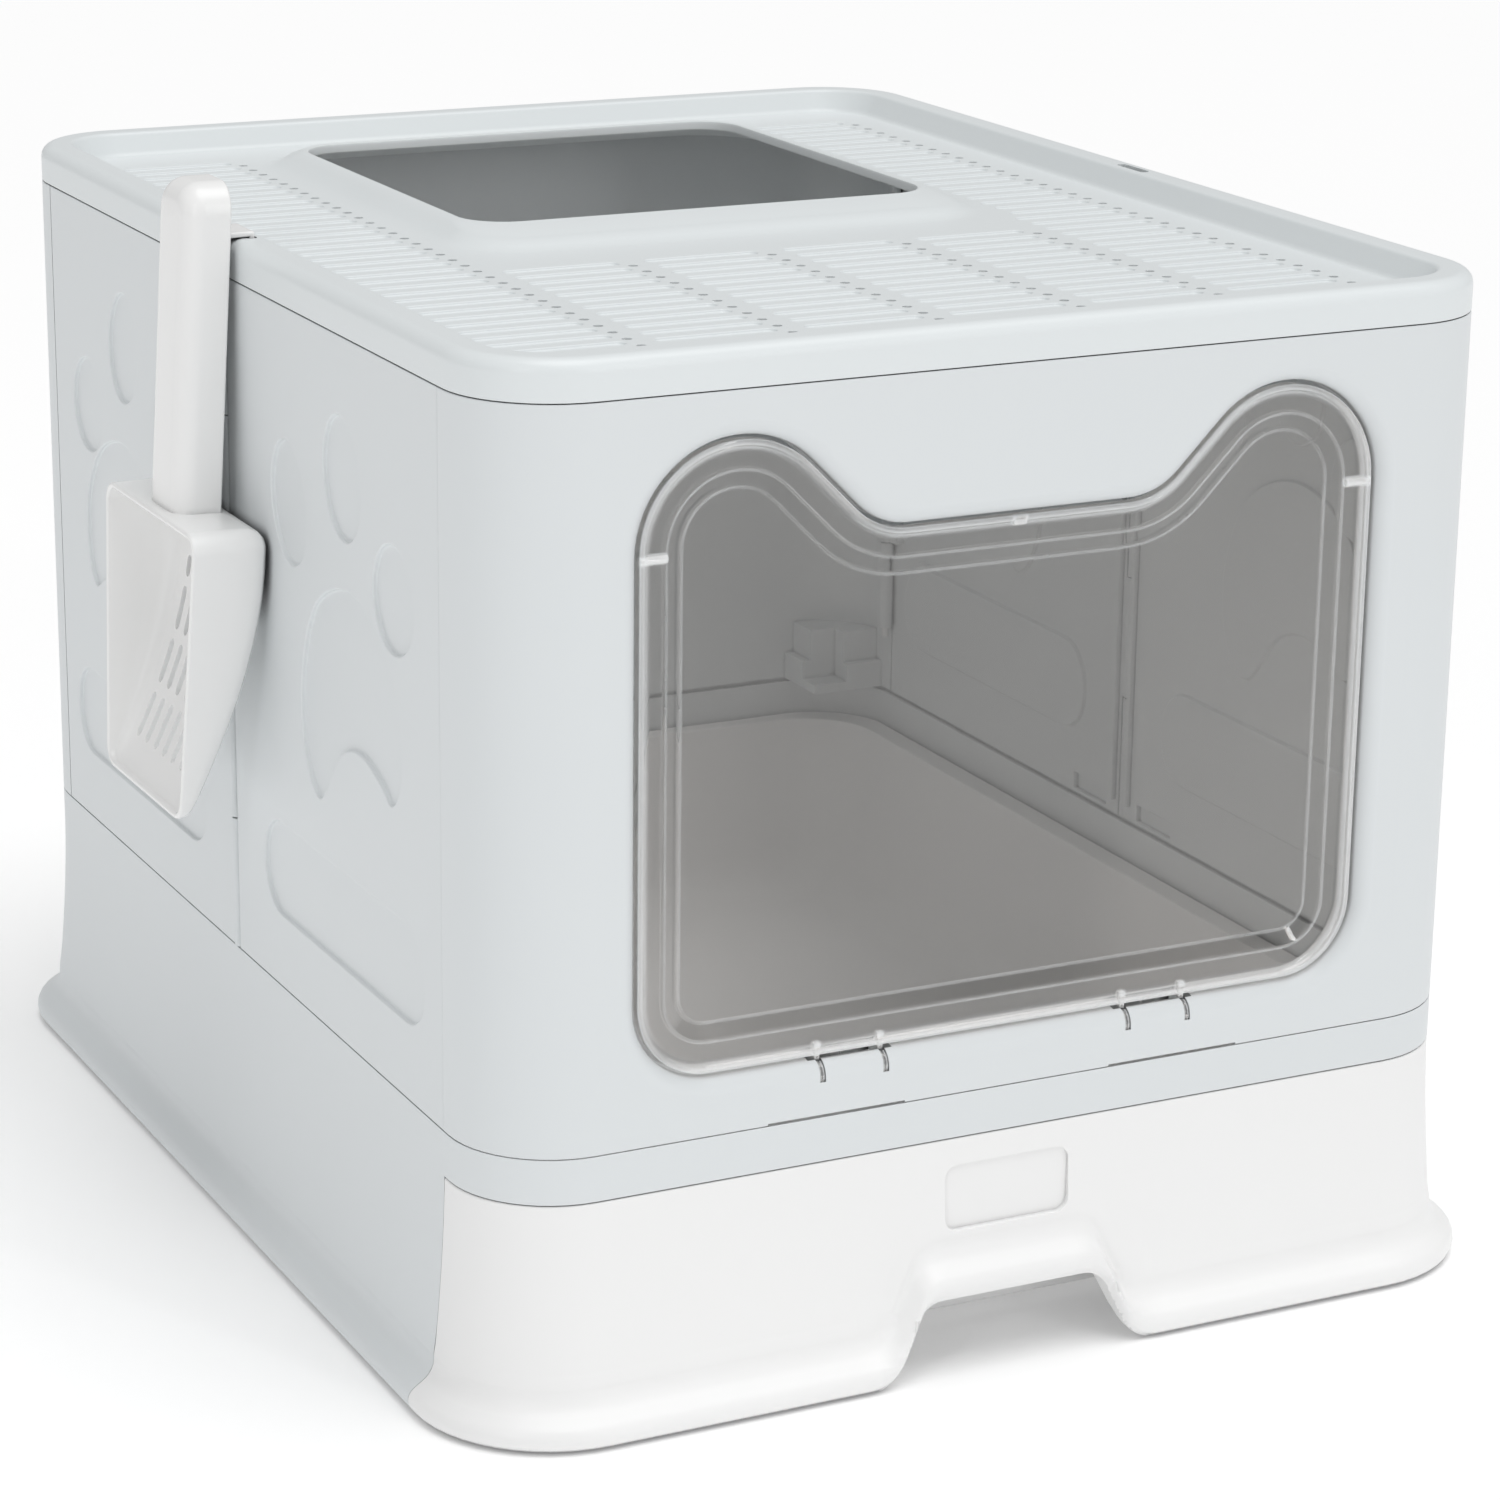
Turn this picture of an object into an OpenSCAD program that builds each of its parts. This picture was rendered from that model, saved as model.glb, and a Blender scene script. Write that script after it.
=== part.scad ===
// Hooded cat litter box: a pull-out tray in a flared base, four fold-in walls, a clear ear-shaped
// drop-down door, a ribbed lid with a top exit, and a scoop that hangs on the lid's rim.
// X is to the right, the door faces -Y, Z is up, and the box stands on z = 0.

/* [Body] */
// Width of the walls, outside
body_w = 384; // [376:2:400]
// Depth of the walls, outside
body_d = 482; // [470:2:500]
// Radius of the four upright corners
corner_r = 37; // [34:1:39]
// Wall thickness of the plastic
wall = 3; // [2.8:0.1:3.2]
// How far the foot stands out past the walls
foot_out = 14; // [13:0.5:15]

/* [Heights] */
// Top of the drawer front
drawer_top = 84; // [82:1:86]
// Top of the base, where the walls stand
base_top = 100; // [98:1:102]
// Top of the walls, where the lid sits
walls_top = 353; // [350:1:360]
// Thickness of the lid, from its seam to its rim
lid_h = 14; // [14:0.5:15]

/* [Window] */
// Half of the window's width
window_x = 140; // [136:1:142]
// Height of the window's sill
window_z = 120; // [119:1:122]
// Height of the dip between the two ears
dip_z = 302; // [300:1:304]
// Radius of each ear
ear_r = 37; // [35:1:38]

/* [Lid] */
// Side of the nearly square top exit, left to right
exit_w = 188; // [180:2:192]
// Side of the top exit, front to back
exit_d = 186; // [180:2:188]
// Depth of the lid's deck below its rim
deck_drop = 9; // [8.5:0.5:9.5]

/* [Scoop] */
// Width of the scoop's pan at its top
pan_w = 97; // [90:1:100]
// Width of the scoop's handle
grip_w = 33; // [28:1:34]

/* [Hidden] */

$fn = 64;
eps = 0.01;
big = 1000;
gap = 0.3;                            // clearance between pieces that only meet
pin_gap = 0.05;                       // radial clearance of a hinge pin in its knuckles

half_w = body_w / 2;
half_d = body_d / 2;
lid_top = walls_top + lid_h;
deck_z = lid_top - deck_drop;
seam_y = half_d - 41;                 // where the corner seams run down each side
pan_gap = 1.2;                        // between the scoop's pan and the left wall
pan_depth = 34;                       // from the back of the pan to its lip
scoop_out = pan_gap + pan_depth;      // how far the scoop reaches past the left wall
shift_x = (scoop_out - foot_out) / 2; // puts the origin under the middle of everything

panel_z0 = base_top + gap;
panel_z1 = walls_top - gap;
panel_h = panel_z1 - panel_z0;

// Corner hinges: the barrels stand inside the walls, so that the walls fold inwards
corner_pin_r = 1.5;
corner_barrel_r = 3;
corner_axis_in = wall + corner_barrel_r + gap;  // from the outer face to the axis
corner_z0 = 130;
corner_knuckle = 40;
corner_count = 5;
leaf = 9;

// Middle hinges: the axis lies just under the outer face, so a slim bead shows outside
middle_pin_r = 1;
middle_barrel_r = 2.2;
middle_axis_in = 1.2;
middle_cut_r = middle_barrel_r + gap;
middle_count = 5;
middle_pitch = panel_h / middle_count;

// Window and door
ear_x = window_x - ear_r;
ear_z = 300;
sill_r = 28;
dip_r = 26;
dip_x = dip_z + dip_r - (dip_r + ear_r) * sqrt(2) - ear_z + ear_x;
lip_depth = 14;
lip_wall = 3;
roll_r = 6;                           // radius of the window's rolled edge, about the door's axis
door_edge = 1.2;                      // gap between the door and the window, all round
flange_back = -half_d + 7.2;          // inner face of the door's flange
flange_t = 2.2;
pane_front = flange_back;             // outer face of the sunk pane
pane_in = 14;                         // from the window's edge to the wall round the pane
pane_t = 2.2;
hinge_x = 59.5;
hinge_ear_x = 12;
hinge_slot_w = 32;
door_ear_t = 2.5;
door_eye_r = 2.6;
door_pin_r = 1.2;
door_pin_len = 44;
door_axis_y = -half_d + roll_r;
door_axis_z = window_z - roll_r;

// Lid
rim_w = 13;
deck_t = 2.5;
exit_r = 17;
exit_y = 92;                          // middle of the top exit
collar_out = 29;
collar_rise = 6.5;
slot_x = half_w - 8.5;                // middle of each rim slot
slot_w = 4;
slot_len = 20;

// Drawer
tray_w = 364;
tray_r = 34;
tray_y0 = -half_d + 15;
tray_y1 = half_d - 8;
tray_floor = 8;
tray_lean = 16;
rim_t = 3;
drawer_z1 = drawer_top - gap;
notch_flat = 28;
notch_r = 10;
notch_toe_r = 15;
notch_slope = 65;
notch_z = 28;

// Scoop, hung beside the left wall
pan_top = 271;
pan_h = 106;
pan_back = -half_w - pan_gap;
pan_corner = 8;
scoop_t = 2.2;
grip_top = 388;
pan_taper = 6.5;                      // how much narrower each side is at the lip
grip_x = -half_w - 16.5;              // middle of the handle at its foot
grip_deep = 17.5;
grip_corner = 8;
grip_lean = 3.5;                      // degrees that the handle leans in towards the wall
hook_w = 18;

// Points along an arc, both ends included
function arc(x, y, r, from, to, steps = 10) =
    [for (i = [0:steps]) let (a = from + (to - from) * i / steps) [x + r * cos(a), y + r * sin(a)]];

function flip(points) = [for (i = [len(points) - 1:-1:0]) [-points[i][0], points[i][1]]];

// A tilted oval
function oval(x, y, rx, ry, tilt, steps = 40) =
    [for (i = [0:steps - 1]) let (a = 360 * i / steps)
        [x + rx * cos(a) * cos(tilt) - ry * sin(a) * sin(tilt),
         y + rx * cos(a) * sin(tilt) + ry * sin(a) * cos(tilt)]];

// Right half of the window's outline, from the sill up over the ear to the dip
function window_half(grow) = concat(
    arc(window_x - sill_r, window_z + sill_r, sill_r + grow, -90, 0),
    arc(ear_x, ear_z, ear_r + grow, 0, 135, 16),
    arc(dip_x, dip_z + dip_r, dip_r - grow, -45, -90, 6));

module window_shape(grow) {
    polygon(concat(window_half(grow), flip(window_half(grow))));
}

// Draws a shape of X and Z, from depth y0 back to y1
module upright(y0, y1) {
    translate([0, y1, 0])
        rotate([90, 0, 0])
            linear_extrude(y1 - y0)
                children();
}

module rounded(w, d, r) {
    square([w - 2 * r, d], center = true);
    square([w, d - 2 * r], center = true);
    for (x = [-1, 1], y = [-1, 1])
        translate([x * (w / 2 - r), y * (d / 2 - r)])
            circle(r);
}

// Runs a wall section round a rounded rectangle. The section's X is measured outwards.
module run_round(w, d, r) {
    for (turn = [0:3]) {
        side = turn % 2 == 0 ? d : w;
        reach = turn % 2 == 0 ? w : d;
        rotate([0, 0, 90 * turn]) {
            translate([reach / 2, side / 2 - r, 0])
                rotate([90, 0, 0])
                    linear_extrude(side - 2 * r)
                        children();
            translate([reach / 2 - r, side / 2 - r, 0])
                rotate_extrude(angle = 90)
                    translate([r, 0])
                        children();
        }
    }
}

module box(low, high) {
    translate(low)
        cube(high - low);
}

// ---- Base and drawer ----

// Section of the flared skirt that the base and the drawer front share
module skirt_section(top) {
    outer = concat(
        [[0, top], [0, 78], [1.2, 50], [3.4, 28]],
        arc(13.4, 19, 9, 172, 236, 6),
        arc(foot_out - 5, 5, 5, 62, 0, 6),
        [[foot_out, 2], [foot_out - 1, 0]]);
    inner = concat(
        [[foot_out - 4, 0]],
        arc(foot_out - 8, 4, 3.4, 0, 62, 5),
        [[3.2, 13], [0.6, 28], [-1.8, 50], [-wall, 78], [-wall, top]]);
    polygon(concat(outer, inner));
}

module skirt(top) {
    run_round(body_w, body_d, corner_r)
        skirt_section(top);
}

module base_frame() {
    color("#c9d0d3")
    translate([shift_x, 0, 0]) {
        difference() {
            skirt(base_top);
            box([-big, -big, -1], [big, -seam_y, drawer_top]);
        }
        // ledges that the drawer's rim slides on
        for (side = [-1, 1])
            translate([side * (half_w - wall - 2.5), 12, drawer_z1 - rim_t - gap - 1.5])
                cube([6, 2 * seam_y - 26, 3], center = true);
    }
}

// Outline of the finger notch, grown by a margin
function notch_toe(grow) = notch_flat + (notch_r + notch_toe_r) * sin(notch_slope)
    + (notch_z - (notch_r + notch_toe_r) * (1 - cos(notch_slope))) / tan(notch_slope)
    + grow / sin(notch_slope);
function notch_half(grow) = concat(
    [[notch_toe(grow), -1]],
    arc(notch_toe(grow), notch_toe_r, notch_toe_r, -90, -90 - notch_slope, 5),
    arc(notch_flat, notch_z - notch_r, notch_r + grow, 90 - notch_slope, 90, 6));

module notch_shape(grow) {
    polygon(concat(notch_half(grow), flip(notch_half(grow))));
}

module tray_section() {
    polygon(concat(
        [[0, drawer_z1]],
        arc(-tray_lean - 1, tray_floor + 3, 6, -15, -90, 6),
        [[-tray_lean - 8, tray_floor - 3], [-tray_lean - 8, tray_floor]],
        arc(-tray_lean - 1, tray_floor + 6, 6, -90, -15, 6),
        [[-3.2, drawer_z1]]));
}

module drawer() {
    tray_d = tray_y1 - tray_y0;
    tray_mid = (tray_y0 + tray_y1) / 2;
    floor_in = tray_lean + 8;
    color("#f2f2f2")
    translate([shift_x, 0, 0])
    difference() {
        union() {
            // tray walls and floor
            translate([0, tray_mid, 0]) {
                run_round(tray_w, tray_d, tray_r)
                    tray_section();
                translate([0, 0, tray_floor - 3])
                    linear_extrude(3)
                        rounded(tray_w - 2 * floor_in + eps, tray_d - 2 * floor_in + eps, tray_r - floor_in);
            }
            // rim that slides on the base's ledges
            translate([0, 0, drawer_z1 - rim_t])
                linear_extrude(rim_t)
                    difference() {
                        translate([0, 0])
                            rounded(body_w - 8, body_d - 8, corner_r - 4);
                        translate([0, tray_mid])
                            rounded(tray_w - 3, tray_d - 3, tray_r - 1.5);
                    }
            // front skirt, with a raised border round the finger notch
            intersection() {
                union() {
                    skirt(drawer_z1);
                    translate([0, 0, drawer_z1 - rim_t])
                        linear_extrude(rim_t)
                            difference() {
                                rounded(body_w - 1, body_d - 1, corner_r - 0.5);
                                rounded(body_w - 10, body_d - 10, corner_r - 5);
                            }
                }
                box([-big, -big, 0], [big, -seam_y - gap, drawer_z1]);
            }
            intersection() {
                run_round(body_w, body_d, corner_r)
                    polygon([[foot_out, 0], [foot_out, 36], [2.5, 50], [-1, 50], [-1, 28], [3, 12], [8, 0]]);
                upright(-half_d - foot_out - 1, -half_d + 1)
                    notch_shape(12);
                box([-big, -big, 0], [big, big, big]);
            }
        }
        upright(-half_d - foot_out - 1, tray_y0 - 4)
            notch_shape(0);
        // recess for a label
        upright(-half_d - 3, -half_d + 0.3)
            translate([0, 62])
                rounded(49, 24, 5);
    }
}

// ---- Fold-in walls ----

module wall_ring() {
    translate([0, 0, panel_z0])
        linear_extrude(panel_h)
            difference() {
                rounded(body_w, body_d, corner_r);
                rounded(body_w - 2 * wall, body_d - 2 * wall, corner_r - wall);
            }
}

function corner_low(i) = corner_z0 + i * corner_knuckle + 0.2;

// Corner knuckles i = first, first + 2, ... of the seam at +Y on the right side.
// The leaf runs along +Y for ahead = 1 and along -Y for ahead = -1.
module corner_knuckles(first, ahead) {
    axis_x = half_w - corner_axis_in;
    height = corner_knuckle - 0.4;
    for (i = [first:2:corner_count - 1])
        translate([axis_x, seam_y, corner_low(i)]) {
            cylinder(r = corner_barrel_r, h = height);
            translate([0, ahead > 0 ? 0 : -leaf, 0])
                cube([corner_barrel_r + gap + 1, leaf, height]);
        }
}

module corner_bore() {
    translate([half_w - corner_axis_in, seam_y, corner_z0 - 1])
        cylinder(r = corner_pin_r + pin_gap, h = corner_count * corner_knuckle + 2);
}

module corner_pin() {
    translate([half_w - corner_axis_in, seam_y, corner_z0 - 4])
        cylinder(r = corner_pin_r, h = corner_count * corner_knuckle + 8);
}

function middle_low(i) = panel_z0 + i * middle_pitch + 0.2;

module middle_cylinder(r, i) {
    translate([half_w - middle_axis_in, 0, middle_low(i)])
        cylinder(r = r, h = middle_pitch - 0.4);
}

// Paw print of three toes and a pad, and a long recess below it, pressed into the outer face
module paw_recess() {
    polygon(oval(62.5, 283, 16, 22, 12));
    polygon(oval(114.5, 304, 17, 21.5, 12));
    polygon(oval(160, 273, 18, 18.5, 12));
    difference() {
        polygon(oval(116, 224, 44, 38, -14));
        polygon(oval(128, 187, 24, 24, -14));
    }
    translate([106, 146])
        rounded(148, 34, 16);
}

// The right rear half of a side wall: +Y from the middle seam to the corner seam.
// Its corner knuckles are the ones that start at 1, its middle knuckles start at middle_first.
module side_half(middle_first) {
    difference() {
        union() {
            difference() {
                box([half_w - wall, gap, panel_z0], [half_w, seam_y - gap, panel_z1]);
                translate([half_w - middle_axis_in, 0, 0])
                    cylinder(r = middle_cut_r, h = big);
                translate([half_w - 1.1, 0, 0])
                    rotate([90, 0, 90])
                        linear_extrude(5)
                            paw_recess();
            }
            // a stiffening rib beside the middle seam
            box([half_w - wall - 2.2, 4.4, panel_z0 + 6], [half_w - wall + eps, 7, panel_z1 - 6]);
            for (i = [middle_first:2:middle_count - 1]) {
                middle_cylinder(middle_barrel_r, i);
                translate([half_w - wall, 0, middle_low(i)])
                    cube([wall - 0.4, middle_cut_r + 1, middle_pitch - 0.4]);
            }
            corner_knuckles(1, -1);
        }
        translate([half_w - middle_axis_in, 0, 0])
            cylinder(r = middle_pin_r + pin_gap, h = big);
        corner_bore();
    }
}

module middle_pin() {
    translate([half_w - middle_axis_in, 0, panel_z0 + 0.3])
        cylinder(r = middle_pin_r, h = panel_h - 0.6);
}

// Back wall: the rear of the ring with both of its corners
module back_panel() {
    color("#d3d9dc")
    translate([shift_x, 0, 0])
    difference() {
        union() {
            intersection() {
                wall_ring();
                box([-big, seam_y, 0], [big, big, big]);
            }
            corner_knuckles(0, 1);
            mirror([1, 0, 0])
                corner_knuckles(0, 1);
        }
        corner_bore();
        mirror([1, 0, 0])
            corner_bore();
    }
}

// Room for one of the door's ears to swing from upright to flat, about its eye
module door_slit() {
    width = door_ear_t + 2 * gap;
    box([-width / 2, -roll_r - 1, -1.6], [width / 2, 3, roll_r + 1]);
    translate([-width / 2, 0, 0])
        rotate([0, 90, 0])
            cylinder(r = door_eye_r + gap, h = width);
}

// Front wall: the front of the ring with both of its corners and the ear-shaped window
module front_panel() {
    color("#d9dee0")
    translate([shift_x, 0, 0])
    difference() {
        union() {
            intersection() {
                wall_ring();
                box([-big, -big, 0], [big, -seam_y, big]);
            }
            upright(-half_d + 1, -half_d + lip_depth)
                window_shape(lip_wall);
            mirror([0, 1, 0])
                for (side = [0, 1])
                    mirror([side, 0, 0])
                        corner_knuckles(0, 1);
            // blocks that carry the door's pins
            for (x = [-hinge_x, hinge_x], side = [-1, 1])
                translate([x + side * (hinge_slot_w / 2 + 2.5), door_axis_y, door_axis_z])
                    cube([5, 7, 7], center = true);
        }
        upright(-half_d - 1, -half_d + lip_depth + 1)
            window_shape(0);
        // rolled edge of the window, in steps
        for (step = [1:4])
            upright(-half_d - 1, -half_d + roll_r - roll_r * sin(step * 20))
                window_shape(roll_r * (1 - cos(step * 20)) );
        for (side = [0, 1])
            mirror([0, 1, 0])
                mirror([side, 0, 0])
                    corner_bore();
        for (x = [-hinge_x, hinge_x]) {
            // slot in the lip between the ears, and a slit for each ear to swing out through
            box([x - hinge_slot_w / 2, door_axis_y - 2, window_z - lip_wall - eps],
                [x + hinge_slot_w / 2, door_axis_y + 5, window_z + 1]);
            for (side = [-1, 1])
                translate([x + side * hinge_ear_x, door_axis_y, door_axis_z])
                    door_slit();
            translate([x - door_pin_len / 2 - 1, door_axis_y, door_axis_z])
                rotate([0, 90, 0])
                    cylinder(r = door_pin_r + pin_gap, h = door_pin_len + 2);
        }
        // two shallow gaps in the lower edge
        for (x = [-66, 66])
            translate([x, -half_d, panel_z0])
                cube([52, 20, 1.6], center = true);
    }
}

module left_front_half() {
    color("#c4cbce")
    translate([shift_x, 0, 0])
        rotate([0, 0, 180])
            side_half(0);
}

module left_rear_half() {
    color("#bcc4c8")
    translate([shift_x, 0, 0])
        mirror([1, 0, 0])
            side_half(1);
}

module right_front_half() {
    color("#c4cbce")
    translate([shift_x, 0, 0])
        mirror([0, 1, 0])
            side_half(0);
}

module right_rear_half() {
    color("#bcc4c8")
    translate([shift_x, 0, 0])
        side_half(1);
}

module left_middle_pin() {
    color("silver")
    translate([shift_x, 0, 0])
        mirror([1, 0, 0])
            middle_pin();
}

module right_middle_pin() {
    color("silver")
    translate([shift_x, 0, 0])
        middle_pin();
}

module left_front_pin() {
    color("silver")
    translate([shift_x, 0, 0])
        rotate([0, 0, 180])
            corner_pin();
}

module left_rear_pin() {
    color("silver")
    translate([shift_x, 0, 0])
        mirror([1, 0, 0])
            corner_pin();
}

module right_front_pin() {
    color("silver")
    translate([shift_x, 0, 0])
        mirror([0, 1, 0])
            corner_pin();
}

module right_rear_pin() {
    color("silver")
    translate([shift_x, 0, 0])
        corner_pin();
}

// A bracket inside each corner's foot, which hooks the walls to the base
module corner_clip() {
    x1 = half_w - wall;
    y1 = half_d - wall;
    difference() {
        intersection() {
            union() {
                box([x1 - 34, y1 - 30, panel_z0], [x1, y1, panel_z0 + 12]);
                box([x1 - 30, y1 - 26, panel_z0], [x1, y1, panel_z0 + 26]);
            }
            translate([0, 0, panel_z0])
                linear_extrude(40)
                    rounded(body_w - 2 * wall - 2 * eps, body_d - 2 * wall - 2 * eps, corner_r - wall);
        }
        translate([x1 - 40, y1 - 40, panel_z0 + 4])
            cube([22, 22, 40]);
    }
}

module clip_pair() {
    color("#b4bcc0")
    translate([shift_x, 0, 0])
        for (side = [0, 1])
            mirror([side, 0, 0])
                corner_clip();
}

module rear_corner_clips() {
    clip_pair();
}

module front_corner_clips() {
    mirror([0, 1, 0])
        clip_pair();
}

// ---- Door ----

// An ear of the door's hinge, with its eye round the pin
module door_ear(x) {
    translate([x - door_ear_t / 2, door_axis_y, door_axis_z])
        rotate([90, 0, 90])
            linear_extrude(door_ear_t) {
                circle(door_eye_r);
                translate([-1.2, 0])
                    square([2.4, roll_r + 4]);
            }
}

module door() {
    nib_y = flange_back - flange_t / 2;
    color("#9a9c9c", 0.5)
    translate([shift_x, 0, 0])
    difference() {
        union() {
            difference() {
                union() {
                    upright(flange_back - flange_t, flange_back)
                        window_shape(-door_edge);
                    upright(flange_back - flange_t - 1.8, flange_back)
                        difference() {
                            window_shape(-door_edge);
                            window_shape(-door_edge - 2);
                        }
                    upright(flange_back - flange_t, pane_front + pane_t)
                        window_shape(-pane_in);
                }
                upright(flange_back - flange_t - 1, pane_front)
                    window_shape(-pane_in - 2);
            }
            for (x = [-hinge_x, hinge_x], side = [-1, 1])
                door_ear(x + side * hinge_ear_x);
            // side nibs and a nub at the top that hold the door shut
            for (side = [-1, 1])
                translate([side * (window_x - 6.2), nib_y, ear_z - 1])
                    rotate([0, 90, 0])
                        cylinder(r = 1.35, h = 11.8, center = true);
            translate([0, nib_y, dip_z - 2.3])
                cube([5, flange_t, 4], center = true);
        }
        for (x = [-hinge_x, hinge_x])
            translate([x - hinge_slot_w / 2, door_axis_y, door_axis_z])
                rotate([0, 90, 0])
                    cylinder(r = door_pin_r + pin_gap, h = hinge_slot_w);
    }
}

module door_pin(x) {
    color("silver")
    translate([shift_x + x - door_pin_len / 2, door_axis_y, door_axis_z])
        rotate([0, 90, 0])
            cylinder(r = door_pin_r, h = door_pin_len);
}

module door_left_pin() {
    door_pin(-hinge_x);
}

module door_right_pin() {
    door_pin(hinge_x);
}

// ---- Lid ----

module rim_section() {
    under = walls_top;
    polygon(concat(
        [[0, under]],
        arc(-5, lid_top - 5, 5, 0, 90, 6),
        arc(-rim_w + 2, lid_top - 2, 2, 90, 155, 4),
        [[-rim_w - 3.4, deck_z + 1.2], [-rim_w - 5, deck_z], [-rim_w - 6, deck_z]],
        [[-rim_w - 6, deck_z - deck_t], [-rim_w - 2.4, deck_z - 1.8], [-rim_w + 0.8, lid_top - 2.8]],
        [[-5, lid_top - 2.8], [-2.6, lid_top - 5], [-2.6, under]]));
}

module collar_section() {
    top = deck_z + collar_rise;
    polygon([[0, top - 2.4], [0, top - 0.6], [0.6, top], [5, top], [12, top - 1.6], [21, deck_z + 1.2],
             [collar_out, deck_z], [collar_out, deck_z - deck_t], [21, deck_z - 1.3], [12, top - 4], [5, top - 2.4]]);
}

module lid() {
    color("#e2e7e8")
    translate([shift_x, 0, 0])
    difference() {
        union() {
            run_round(body_w, body_d, corner_r)
                rim_section();
            translate([0, 0, deck_z - deck_t])
                linear_extrude(deck_t)
                    difference() {
                        rounded(body_w - 2 * rim_w - 12 + eps, body_d - 2 * rim_w - 12 + eps, corner_r - rim_w - 6);
                        translate([0, exit_y])
                            rounded(exit_w + 2 * collar_out - eps, exit_d + 2 * collar_out - eps, exit_r + collar_out);
                    }
            translate([0, exit_y, 0])
                run_round(exit_w, exit_d, exit_r)
                    collar_section();
        }
        for (side = [-1, 1])
            translate([side * slot_x, 0, lid_top])
                cube([slot_w, slot_len, 14], center = true);
    }
}

// ---- Scoop ----

// Side view of the pan's floor, which curves outwards to the lip (X across, Z up)
function pan_floor(inset) = [
    for (i = [0:12]) let (t = i / 12)
        [pan_back - inset - (pan_depth - 3.5) * pow(t, 1.85), pan_top - pan_corner - (pan_h - pan_corner) * t]];

function pan_profile(inset) = concat(
    [[pan_back - pan_depth + 5.5 - 2 * inset, pan_top - inset]],
    arc(pan_back - pan_corner, pan_top - pan_corner, pan_corner - inset, 90, 15, 5),
    pan_floor(inset),
    [[pan_back - pan_depth - 2 * inset, pan_top - pan_h + inset]]);

// Front of the pan (Y across, Z up), narrower towards the lip
module pan_front(inset) {
    r = pan_corner - inset;
    tilt = atan(pan_taper / (pan_h - 2 * pan_corner));
    half = concat(
        arc(pan_w / 2 - pan_taper - pan_corner, pan_top - pan_h + pan_corner, r, -90, -tilt, 6),
        arc(pan_w / 2 - pan_corner, pan_top - pan_corner, r, -tilt, 90, 6));
    polygon(concat(half, flip(half)));
}

module pan_body(inset) {
    intersection() {
        upright(-pan_w / 2, pan_w / 2)
            polygon(pan_profile(inset));
        translate([pan_back - pan_depth - 10, 0, 0])
            rotate([90, 0, 90])
                linear_extrude(pan_depth + 20)
                    pan_front(inset);
    }
}

// Plan of the handle: flat towards the wall and round outwards
module grip_plan(inset) {
    side = grip_w / 2 - inset;
    front = grip_deep / 2 - inset;
    r = grip_corner - inset;
    polygon(concat(
        [[grip_deep / 2 + inset, side]],
        arc(-front + r, side - r, r, 90, 180, 6),
        arc(-front + r, -side + r, r, 180, 270, 6),
        [[grip_deep / 2 + inset, -side]]));
}

module grip() {
    length = grip_top - pan_top;
    intersection() {
        difference() {
            translate([0, 0, -2])
                linear_extrude(length + 2)
                    grip_plan(0);
            translate([0, 0, 4])
                linear_extrude(length - 4 - scoop_t)
                    grip_plan(scoop_t);
        }
        // rounds the top of the handle
        rotate([90, 0, 90])
            translate([0, 0, -grip_deep])
                linear_extrude(2 * grip_deep)
                    translate([0, length / 2 - 20])
                        rounded(grip_w, length + 40, 11);
    }
}

module scoop() {
    color("#f4f4f4")
    translate([shift_x, 0, 0]) {
        difference() {
            pan_body(0);
            pan_body(scoop_t);
            // slots that let the litter fall through
            for (row = [0:2], column = [-3:3])
                translate([pan_back - 10, column * 9.4, pan_top - 37 - 26 * row])
                    cube([60, 4.2, 19], center = true);
        }
        translate([grip_x, 0, pan_top])
            rotate([0, grip_lean, 0])
                grip();
        // hook that lies over the lid's rim and drops into its slot
        box([grip_x - 1.5, -hook_w / 2, lid_top + gap], [-slot_x + 1, hook_w / 2, lid_top + gap + 2]);
        box([-slot_x - 1, -hook_w / 2, lid_top - 6], [-slot_x + 1, hook_w / 2, lid_top + gap + 2]);
    }
}

base_frame();
drawer();
front_panel();
back_panel();
left_front_half();
left_rear_half();
right_front_half();
right_rear_half();
left_middle_pin();
right_middle_pin();
left_front_pin();
left_rear_pin();
right_front_pin();
right_rear_pin();
front_corner_clips();
rear_corner_clips();
door();
door_left_pin();
door_right_pin();
lid();
scoop();
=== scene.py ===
"""A hooded cat litter box: detailed plastic pieces and their materials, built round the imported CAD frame.

Pieces are drawn in millimetres from the middle of the box, with z = 0 on the floor, and become metres
in the frame's own place in Piece.make().
"""
import math

import bmesh
import bpy
from mathutils import Matrix, Vector
from mathutils.geometry import delaunay_2d_cdt


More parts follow.
